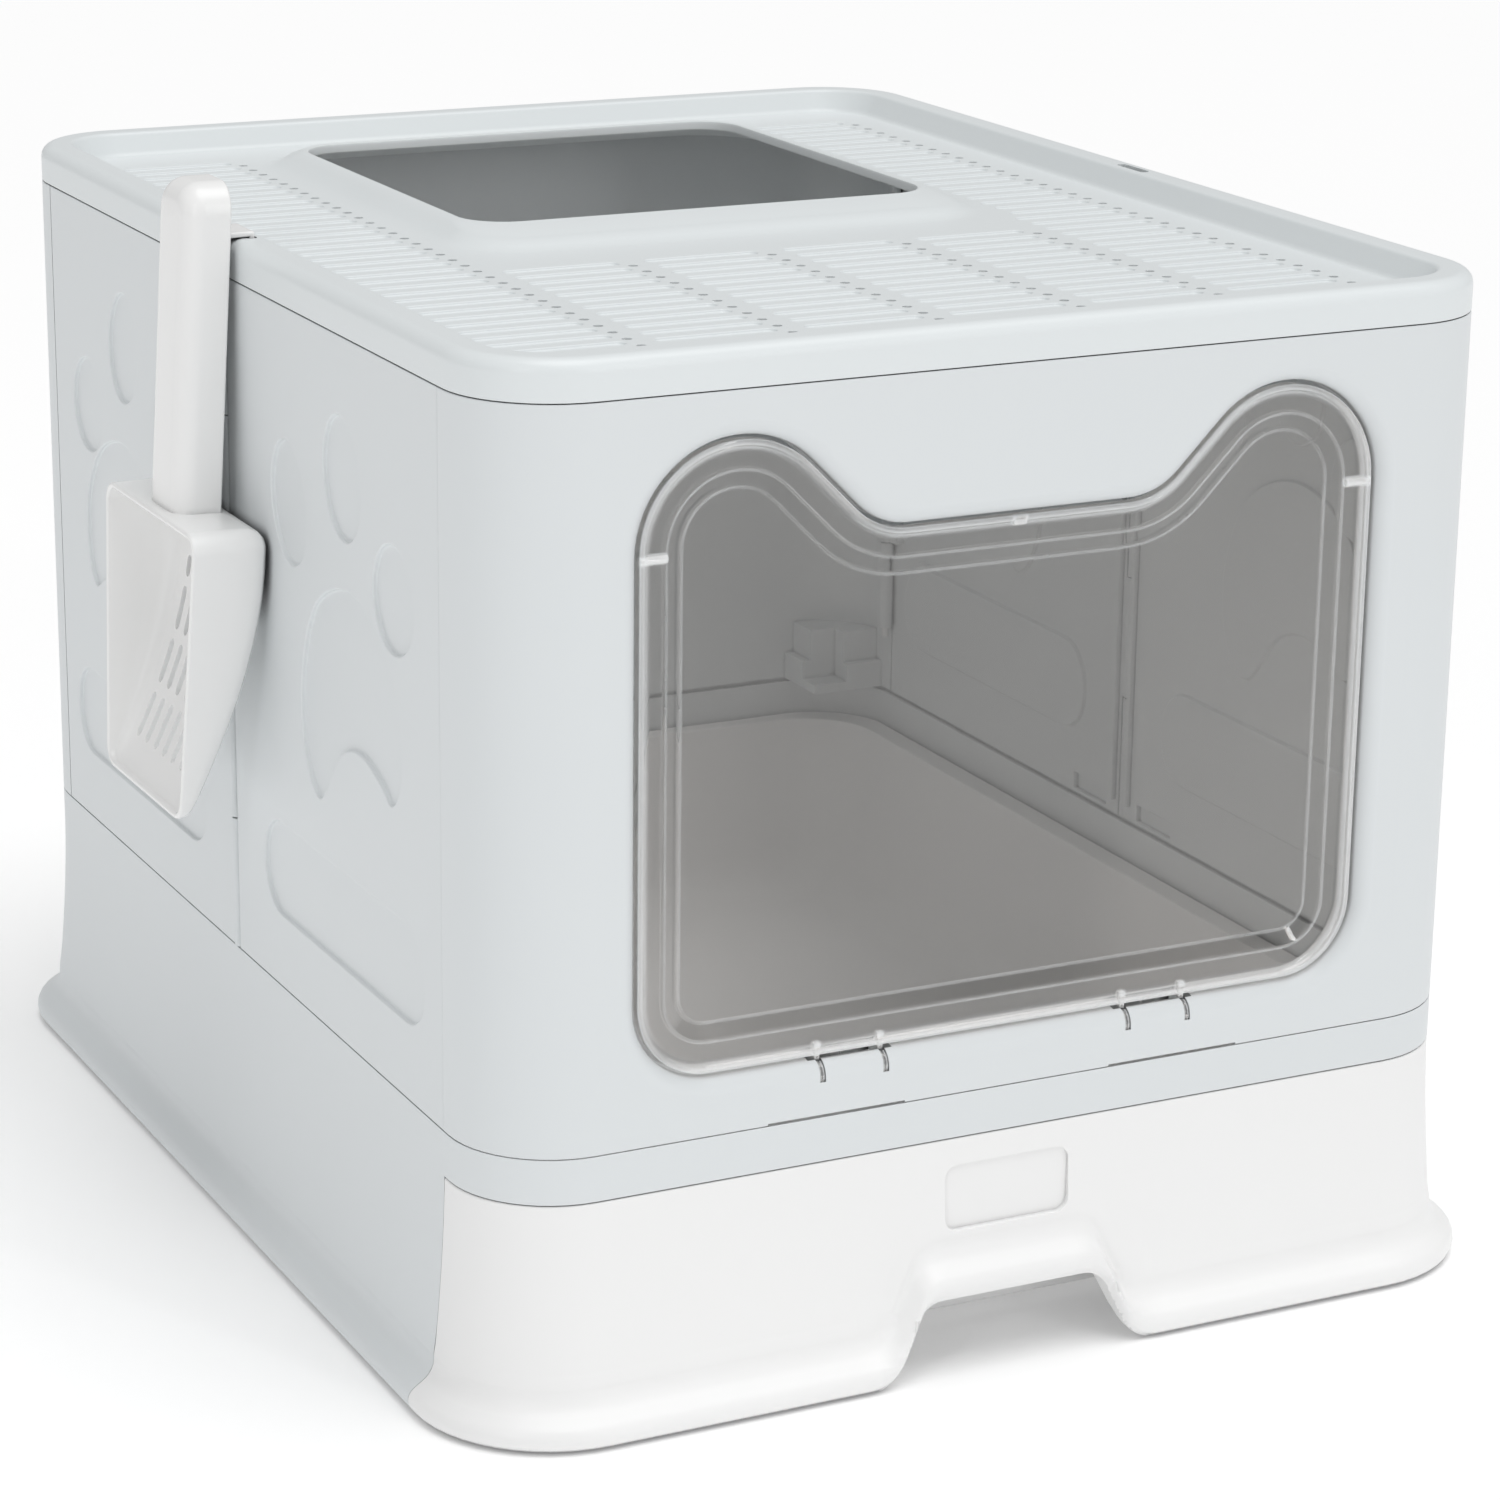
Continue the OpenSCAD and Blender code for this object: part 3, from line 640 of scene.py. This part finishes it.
# ---- Walls that fold ----

KNUCKLE_LOW, KNUCKLE, KNUCKLES = 130, 40, 5     # the lowest one's foot, their pitch and their number
CORNER_AXIS, CORNER_R = HALF_W - 6.3, 3.0
MIDDLE_AXIS, MIDDLE_R = HALF_W - 1.2, 2.2
KNUCKLE_END = 0.4       # rounding of the knuckles' ends


def corner_knuckles(piece, side, ahead, first, run):
    """Knuckles of one corner hinge. Its leaf runs along run * Y, away from the axis."""
    for i in range(first, KNUCKLES, 2):
        low = KNUCKLE_LOW + i * KNUCKLE + 0.2
        high = low + KNUCKLE - 0.4
        piece.pillar(circle(side * CORNER_AXIS, ahead * SEAM_Y, CORNER_R), low, high, KNUCKLE_END)
        xs = sorted((side * CORNER_AXIS, side * (HALF_W - WALL + 0.1)))
        ys = sorted((ahead * SEAM_Y, ahead * (SEAM_Y + run * 9)))
        piece.block((xs[0], ys[0], low), (xs[1], ys[1], high), 0.4)


PAD = spline([(105, 263), (84, 250), (73, 223), (75, 197), (87, 184), (97, 191), (110, 206), (128, 211),
              (146, 206), (157, 201), (165, 213), (164, 236), (149, 256), (127, 265)])
PAW = [oval(63, 284, 16.5, 22, 14), oval(114.5, 304, 17, 21.5, 12), oval(160, 273, 18, 18.5, 8), PAD,
       rounded(32, 128, 184, 163, 16)]
PAW_DEPTH = 1.7


def make_half(name, side, ahead, first):
    """One leaf of a side wall: ahead is -1 for a front leaf, and first is its first middle knuckle."""
    piece = Piece()

    def place(u, v, depth):
        return side * (HALF_W - depth), ahead * u, v

    sheet = rectangle(2.7, PANEL_LOW, SEAM_Y - GAP, PANEL_HIGH)
    rim = [(-EDGE, 0), (-0.15, 0.15), (0, EDGE), (0, WALL - EDGE), (-0.15, WALL - 0.15), (-EDGE, WALL)]
    front, back = piece.press(sheet, rim, place, cap=False)
    piece.fill(front, [piece.press(shape, rounded_step(PAW_DEPTH, 0.8), place)[0] for shape in PAW])
    raised = [piece.press(shape, rounded_step(PAW_DEPTH, 0.8, 1.6, WALL), place)[0] for shape in PAW]
    pocket = rectangle(12, PANEL_LOW + 1.5, 38, PANEL_LOW + 8.5)
    raised.append(piece.press(pocket, [(0.2, WALL), (0, WALL - 0.2), (0, 0.9)], place)[0])
    piece.fill(back, raised)

    pitch = (PANEL_HIGH - PANEL_LOW) / KNUCKLES
    for i in range(KNUCKLES):
        low = PANEL_LOW + i * pitch + 0.2
        high = low + pitch - 0.4
        if i % 2 == first:
            piece.pillar(circle(side * MIDDLE_AXIS, 0, MIDDLE_R), low, high, KNUCKLE_END)
            xs = sorted((side * (HALF_W - WALL + 0.2), side * (HALF_W - 0.5)))
            ys = sorted((0, ahead * 3.4))
            piece.block((xs[0], ys[0], low), (xs[1], ys[1], high), 0.3)
    xs = sorted((side * (HALF_W - WALL - 2.2), side * (HALF_W - WALL + 0.1)))
    ys = sorted((ahead * 4.4, ahead * 7))
    piece.block((xs[0], ys[0], PANEL_LOW + 6), (xs[1], ys[1], PANEL_HIGH - 6))
    corner_knuckles(piece, side, ahead, 1, -1)
    return piece.make(name + "_shell", name, WALL_LOOK, [name + "_half"])


def ring_section():
    corners = ((0, PANEL_LOW), (0, PANEL_HIGH), (-WALL, PANEL_HIGH), (-WALL, PANEL_LOW))
    return fillet([(out, z, EDGE) for out, z in corners])


def make_back():
    piece = Piece()
    piece.sweep(back_course(), ring_section())
    for side in (-1, 1):
        corner_knuckles(piece, side, 1, 0, 1)
    return piece.make("back_shell", "ring", WALL_LOOK, ["back_panel"])


# ---- Window and door ----

WINDOW_X, SILL, DIP = 140, 120, 302     # half the width, the lower edge, and the low point between the ears
SILL_R, EAR_R, DIP_R = 28, 37, 26
EAR_X, EAR_Z = WINDOW_X - EAR_R, 300
DIP_X = DIP + DIP_R - (DIP_R + EAR_R) * math.sqrt(2) - EAR_Z + EAR_X
ROLL = 6                # the window's rolled edge
HINGE_X, HINGE_EAR, EAR_DISC = 59.5, 12, 5.4
DOOR_Y, DOOR_Z = -HALF_D + ROLL, SILL - ROLL     # the hinge's axis
PANE_Y, PANE_T = DOOR_Y + 1.2, 2.2               # the back of the pane's border, and its thickness


def window(grow):
    """Half a sill corner, an ear and half the dip, mirrored, and grown by a distance."""
    half = (arc(WINDOW_X - SILL_R, SILL + SILL_R, SILL_R + grow, -90, 0, 12)
            + arc(EAR_X, EAR_Z, EAR_R + grow, 0, 135, 22)
            + arc(DIP_X, DIP + DIP_R, DIP_R - grow, -45, -90, 8))
    return half + [(-x, z) for x, z in reversed(half)]


def make_front():
    piece = Piece()
    section = ring_section()
    corner = len(section) // 4
    stations = front_course()
    flat = len(BODY) // 4
    outer, inner = corner - 1, 3 * corner - 1
    rings = piece.sweep(stations, section, skip={(flat, outer), (flat, inner)})

    def plane(a, b):
        indices = [rings[flat][a], rings[flat + 1][a], rings[flat + 1][b], rings[flat][b]]
        return indices, [(piece.points[i][0], piece.points[i][2]) for i in indices]

    turns = [math.radians(15 * i) for i in range(7)]
    roll = [(ROLL * (1 - math.sin(a)), ROLL * (1 - math.cos(a))) for a in turns]
    lip = [(0, 13.4), (0.2, 13.8), (0.6, 14), (2.4, 14), (2.8, 13.8), (3, 13.4), (3, 4), (3.3, 3.3),
           (4, WALL)]
    front, back = piece.press(window, roll + lip, lambda u, v, d: (u, -HALF_D + d, v), cap=False)
    piece.fill(plane(outer, outer + 1), [front])
    piece.fill(plane(inner, inner + 1), [back])
    for side in (-1, 1):
        corner_knuckles(piece, side, -1, 0, 1)
        for x in (side * HINGE_X - 18.5, side * HINGE_X + 18.5):
            piece.block((x - 2.5, DOOR_Y - 3.4, DOOR_Z - 3.5), (x + 2.5, DOOR_Y + 3.5, DOOR_Z + 2.8))
    made = piece.make("front_shell", "front", WALL_LOOK, ["front_panel"])

    cutter = Piece()
    slit = ([(-HALF_D - 1, SILL + 1.6), (-HALF_D - 1, DOOR_Z - 1.4)]
            + arc(DOOR_Y, DOOR_Z, EAR_DISC + GAP, 194, 360, 16) + [(DOOR_Y + EAR_DISC + GAP, SILL + 1.6)])
    for side in (-1, 1):
        middle = side * HINGE_X
        cutter.block((middle - 16, DOOR_Y - 2, SILL - 3.4), (middle + 16, DOOR_Y + 5, SILL + 2), 0.3)
        for x in (middle - HINGE_EAR, middle + HINGE_EAR):
            cutter.pillar(slit, x - 1.15, x + 1.15, 0.1, lambda u, v, w: (w, u, v))
        finger = side * 66
        cutter.block((finger - 26, -HALF_D - 2, PANEL_LOW - 2),
                     (finger + 26, -HALF_D + 5, PANEL_LOW + 0.8), 0.2)
    return carved(made, cutter)


def make_door():
    """The pane: an outer bead, a flat border and a sunk middle, by depths forwards of the border's back."""
    piece = Piece()
    bead = [(-1.2, 0.5), (-1.2, 3.1), (-1.4, 3.7), (-1.9, 4.0), (-2.7, 4.0), (-3.3, 3.7), (-3.7, 3.1),
            (-4.1, 2.6), (-4.9, 2.3), (-5.8, PANE_T)]
    face = bead + [(-11.4, PANE_T), (-11.8, 2.15), (-12.2, 2.0), (-17.4, 0.15), (-17.8, 0.03), (-18.2, 0)]
    back = [(-1.2, 0.5), (-1.35, 0.15), (-1.7, 0), (-11, 0), (-11.4, -0.05), (-11.8, -0.2), (-16.8, -2.05),
            (-17.2, -2.17), (-17.6, -PANE_T)]
    for steps in (face, back):
        piece.press(window, steps, lambda u, v, forward: (u, PANE_Y - forward, v))

    def along(u, v, w):
        return w, u, v

    ear = ([(DOOR_Y - 1.2, SILL + 5)] + arc(DOOR_Y, DOOR_Z, EAR_DISC, 103, 437, 28)
           + [(DOOR_Y + 1.2, SILL + 5)])
    for x in (-HINGE_X, HINGE_X):
        for side in (-1, 1):
            middle = x + side * HINGE_EAR
            piece.pillar(ear, middle - 1, middle + 1, 0.3, along)
    for side in (-1, 1):
        near, far = sorted((side * (WINDOW_X - 11.5), side * (WINDOW_X - 1.6)))
        piece.pillar(circle(PANE_Y - 2.9, EAR_Z - 1, 1.35), near, far, 0.6, along)
    piece.block((-2.5, PANE_Y - 4.2, DIP - 4.6), (2.5, PANE_Y - 2.4, DIP - 1.5))
    return piece.make("door_pane", "door", DOOR_LOOK, ["door"])


# ---- Lid ----

EXIT_W, EXIT_D, EXIT_R, EXIT_Y = 188, 186, 17, 92
EXIT = course(-EXIT_W / 2, EXIT_Y - EXIT_D / 2, EXIT_W / 2, EXIT_Y + EXIT_D / 2, EXIT_R)
COLLAR_X, COLLAR_FRONT, COLLAR_BACK = 112, -31, 204
COLLAR = course(-COLLAR_X, COLLAR_FRONT, COLLAR_X, COLLAR_BACK, EXIT_R + 16)
RIB_W, RIB_H, RIB_LONG, RIB_PITCH, STRIP = 6.2, 1.0, 45, 11.4, 55
RIB_FRONT, RIB_BACK = -207, 203
FIRST_STRIP, STRIPS = -164, 6
DRAIN_R, DRAIN_GAP = 1.7, 2.8


def lid_pattern():
    """The deck's ribs, and the middles of its drain holes."""
    ribs, holes = [], []
    for strip in range(STRIPS):
        start = FIRST_STRIP + strip * STRIP
        drain = start + RIB_LONG + DRAIN_GAP
        for row in range(int((RIB_BACK - RIB_FRONT) / RIB_PITCH) + 1):
            y = RIB_FRONT + row * RIB_PITCH
            low, high = start, start + RIB_LONG
            if 0 < strip < STRIPS - 1 and y > COLLAR_FRONT - 22:
                continue
            if y > COLLAR_FRONT - 4:
                if strip == 0:
                    high = min(high, -COLLAR_X - 3)
                else:
                    low = max(low, COLLAR_X + 3)
            ribs.append(rounded(low, y - RIB_W / 2, high, y + RIB_W / 2, RIB_W / 2 - 0.05, 4))
            if row and (strip == STRIPS - 1 or y < COLLAR_FRONT - 10 or drain < -COLLAR_X - 2):
                holes.append((drain, y - RIB_PITCH / 2))
    return ribs, holes


def make_lid():
    piece = Piece()
    under = DECK - 2.5
    rim = ([(BODY, -19, DECK), (BODY, -18.2, DECK + 0.15), (BODY, -17.2, DECK + 0.7),
            (BODY, -16.5, DECK + 1.8)]
           + [(BODY, out, z) for out, z in arc(-13.2 + 2.2, LID_TOP - 2.2, 2.2, 158, 90, 5)]
           + [(BODY, out, z) for out, z in arc(-5, LID_TOP - 5, 5, 90, 0, 9)]
           + [(BODY, 0, WALLS_TOP + EDGE), (BODY, -0.15, WALLS_TOP + 0.15), (BODY, -EDGE, WALLS_TOP),
              (BODY, -2.2, WALLS_TOP), (BODY, -2.6, WALLS_TOP + 0.4), (BODY, -2.6, LID_TOP - 5),
              (BODY, -5, LID_TOP - 2.8), (BODY, -12, LID_TOP - 2.8), (BODY, -15.4, under + 0.8),
              (BODY, -16.5, under), (BODY, -19, under)])
    deck_top, deck_under = piece.hoops(rim)
    top = DECK + 6.5
    collar = [(COLLAR, 0, DECK), (COLLAR, -3, DECK + 0.25), (COLLAR, -7, DECK + 1.6),
              (COLLAR, -11, DECK + 4.2), (EXIT, 4.2, top - 0.7), (EXIT, 2.4, top - 0.1), (EXIT, 1.2, top),
              (EXIT, 0.35, top - 0.35), (EXIT, 0, top - 1.2), (EXIT, 0, top - 3.4), (EXIT, 0.5, top - 3.9),
              (EXIT, 4.4, top - 3.2), (COLLAR, -11, DECK + 1.6), (COLLAR, -7, DECK - 0.9),
              (COLLAR, -3, under + 0.25), (COLLAR, 0, under)]
    collar_top, collar_under = piece.hoops(collar)

    def place(u, v, height):
        return u, v, DECK + height

    ribs, holes = lid_pattern()
    up = [(g, -d) for g, d in rounded_step(RIB_H, 0.58, -0.3)]
    down = [(0.4, 0), (0.1, -0.1), (0, -0.4), (0, -2.1), (0.3, -2.5)]
    raised = [piece.press(rib, up, place)[0] for rib in ribs]
    drains = [piece.press(circle(x, y, DRAIN_R, 14), down, place, cap=False) for x, y in holes]
    piece.fill(deck_top, [collar_top] + raised + [drain[0] for drain in drains])
    piece.fill(deck_under, [collar_under] + [drain[1] for drain in drains])
    made = piece.make("lid_shell", "lid", LID_LOOK, ["lid"])
    cutter = Piece()
    for side in (-1, 1):
        x = side * (HALF_W - 8.5)
        cutter.pillar(rounded(x - 2, -10, x + 2, 10, 1.9, 5), DECK + 3, LID_TOP + 4, 0.01)
    return carved(made, cutter)


# ---- Scoop ----

PAN_HALF, PAN_TAPER, PAN_LOW, PAN_HIGH, PAN_R = 48.5, 6.5, 165, 271, 8
PAN_BACK = -HALF_W - 1.2
SLOT_ROWS = (236, 244), (216.5, 232.5), (197, 213), (177.5, 193.5)
SLOT_PITCH, SLOT_R = 9.4, 2.1
THIN = 2.2


def pan_rim_x(z):
    return scoop_low.x - MID_X + (z - PAN_LOW) / (PAN_HIGH - PAN_LOW) * 5.5


def pan_floor_x(z):
    t = max(0.0, (PAN_HIGH - PAN_R - z) / (PAN_HIGH - PAN_R - PAN_LOW))
    return PAN_BACK - 30.5 * t ** 1.85


def pan_half(z):
    return PAN_HALF - PAN_TAPER * (PAN_HIGH - z) / (PAN_HIGH - PAN_LOW)


def pan_outline(grow):
    r = max(PAN_R + grow, 0.8)
    high = arc(pan_half(PAN_HIGH) + grow - r, PAN_HIGH + grow - r, r, 4, 90, 8)
    low = arc(pan_half(PAN_LOW) + grow - r, PAN_LOW - grow + r, r, -90, 4, 6)
    (x0, z0), (x1, z1) = low[-1], high[0]
    sides = [(x0 + (x1 - x0) * i / 10, z0 + (z1 - z0) * i / 10) for i in range(1, 10)]
    half = low + sides + high
    return half + [(-u, v) for u, v in reversed(half)]


def slot_outline(middle, low, high):
    r = SLOT_R
    sides = [(middle + r, low + r + (high - low - 2 * r) * i / 4) for i in range(1, 4)]
    other = [(2 * middle - u, v) for u, v in reversed(sides)]
    return arc(middle, low + r, r, 180, 360, 6) + sides + arc(middle, high - r, r, 0, 180, 6) + other


def handle_outline(grow):
    half, top, r = 16.5 + grow, scoop_high.z - 0.4 + grow, max(11 + grow, 1)
    return ([(-half, PAN_HIGH - 1.5), (half, PAN_HIGH - 1.5)] + arc(half - r, top - r, r, 0, 90, 8)
            + arc(r - half, top - r, r, 90, 180, 8))


def make_scoop():
    piece = Piece()

    def pan(u, v, step):
        """A point of the pan: a distance past its rim, then a share of the way down to its floor."""
        from_rim, share, thick = step
        rim_x = pan_rim_x(v)
        deep = pan_floor_x(v) - thick - rim_x
        return rim_x + from_rim + max(0.0, deep - from_rim) * share, u, v

    slots = [slot_outline(SLOT_PITCH * column, low, high)
             for low, high in SLOT_ROWS for column in range(-3, 4)]
    outside = [(-1.1, (0, 0, 0)), (-0.35, (0.25, 0, 0)), (0, (0.9, 0, 0)), (0, (0.9, 0.55, 0)),
               (-0.5, (0.9, 0.78, 0)), (-1.8, (0.9, 0.91, 0)), (-4, (0.9, 0.98, 0)), (-7, (0.9, 1, 0))]
    inside = [(-1.1, (0, 0, 0)), (-1.85, (0.25, 0, 0)), (-THIN, (0.9, 0, THIN)), (-THIN, (0.9, 0.5, THIN)),
              (-2.8, (0.9, 0.76, THIN)), (-4.2, (0.9, 0.9, THIN)), (-6.2, (0.9, 0.98, THIN)),
              (-8.5, (0.9, 1, THIN))]
    walls = [piece.press(slot, [(0, (0, 1, 0)), (0, (0, 1, THIN))], pan, cap=False) for slot in slots]
    for steps, thick, end in ((outside, 0, 0), (inside, THIN, 1)):
        edge = piece.press(pan_outline, steps, pan, cap=False)[1]
        grid = [(u, v) for u in range(-36, 37, 6) for v in range(PAN_LOW + 11, PAN_HIGH - 10, 5)
                if abs(u) < pan_half(v) - 10 and all(inside_distance(slot, u, v) > 1.2 for slot in slots)]
        names = piece.loop([pan(u, v, (0, 1, thick)) for u, v in grid])
        piece.fill(edge, [wall[end] for wall in walls], list(zip(names, grid)))

    def grip(u, v, out):
        return -HALF_W - 7.75 + 0.061 * (v - PAN_HIGH) - out, u, v

    turns = [math.radians(10 * i) for i in range(1, 10)]
    hump = [(0, 9.5)] + [(-7.6 * (1 - math.cos(a)), 9.5 + 7.6 * math.sin(a)) for a in turns] + [(-12, 17.4)]
    piece.press(handle_outline, [(-1.1, 0), (-0.3, 0.3), (0, 1)] + hump, grip)
    hollow = [(g - THIN, o - THIN) for g, o in hump]
    piece.press(handle_outline, [(-1.1, 0), (-1.9, 0.3), (-THIN, 1)] + hollow, grip)
    hook_top = LID_TOP + GAP + 2
    inner = -HALF_W + 8.5
    piece.block((-HALF_W - 12, -9, hook_top - 2), (inner + 1, 9, hook_top), 0.7)
    piece.block((inner - 1, -9, LID_TOP - 6), (inner + 1, 9, hook_top - 0.6), 0.7)
    return piece.make("scoop_shell", "scoop", SCOOP_LOOK, ["scoop"], sharp=50)


make_base()
make_drawer()
make_back()
make_half("left_front", -1, -1, 0)
make_half("left_rear", -1, 1, 1)
make_half("right_front", 1, -1, 0)
make_half("right_rear", 1, 1, 1)
make_front()
make_door()
make_lid()
make_scoop()

# the pins and clips keep their CAD shapes
for node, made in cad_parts.items():
    if not made.hide_render:
        look = WALL_LOOK if "clips" in node else HINGE_LOOK
        for index in range(len(made.data.materials)):
            made.data.materials[index] = look
        made.data.polygons.foreach_set("use_smooth", [True] * len(made.data.polygons))


# ---- Camera, light and floor ----

def make_stage():
    scene = bpy.context.scene
    camera = bpy.data.cameras.new("camera")
    camera.lens = 104.6
    camera.clip_end = 50    # metres
    holder = bpy.data.objects.new("camera", camera)
    scene.collection.objects.link(holder)
    yaw, pitch, roll = 0.4625, 0.2993, 0.0127       # radians: turned right, tilted down, rolled
    ahead = Vector((math.sin(yaw) * math.cos(pitch), math.cos(yaw) * math.cos(pitch), -math.sin(pitch)))
    right = Vector((math.cos(yaw), -math.sin(yaw), 0))
    up = right.cross(ahead)
    right, up = right * math.cos(roll) + up * math.sin(roll), up * math.cos(roll) - right * math.sin(roll)
    turn = Matrix((right, up, -ahead)).transposed().to_4x4()
    holder.matrix_world = Matrix.Translation((MID_X / 1000 - 0.7032, -1.4499, 0.6498)) @ turn
    scene.camera = holder

    floor = bpy.data.meshes.new("floor")
    far = 6     # metres
    corners = [(x, y, -0.0003) for x, y in rectangle(-far, -far, far, far)]
    floor.from_pydata(corners, [], [(0, 1, 2, 3)])
    ground = bpy.data.objects.new("floor", floor)
    scene.collection.objects.link(ground)
    paper = bpy.data.materials.new("paper")
    paper.use_nodes = True
    sheet = paper.node_tree.nodes["Principled BSDF"]
    sheet.inputs["Base Color"].default_value = (0.93, 0.93, 0.93, 1)
    sheet.inputs["Roughness"].default_value = 0.9
    sheet.inputs["Specular IOR Level"].default_value = 0.1
    sheet.inputs["Emission Color"].default_value = (1, 1, 1, 1)
    sheet.inputs["Emission Strength"].default_value = 0.16
    floor.materials.append(paper)

    world = bpy.data.worlds.new("studio")
    scene.world = world
    world.use_nodes = True
    sky = world.node_tree.nodes["Background"]
    sky.inputs["Color"].default_value = (1.0, 1.0, 1.0, 1)
    sky.inputs["Strength"].default_value = 0.43
    lamps = (("key", "SUN", (0.10, -0.15, 0.98), 1.45, 0.8),
             ("left", "AREA", (-1.6, -1.3, 1.0), 3.8, 0.12),
             ("front", "AREA", (0.70, -2.1, 1.0), 4, 0.12))
    for name, kind, at, power, size in lamps:
        lamp = bpy.data.lights.new(name, kind)
        lamp.energy = power
        if kind == "SUN":
            lamp.angle = size
        else:
            lamp.shape = "RECTANGLE"
            lamp.size = size
            lamp.size_y = 1.4
        lamp_holder = bpy.data.objects.new(name, lamp)
        lamp_holder.location = at
        lamp_holder.rotation_mode = "QUATERNION"
        lamp_holder.rotation_quaternion = (Vector((0, 0, 0.2)) - Vector(at)).to_track_quat("-Z", "Y")
        scene.collection.objects.link(lamp_holder)
    scene.view_settings.view_transform = "Standard"


make_stage()
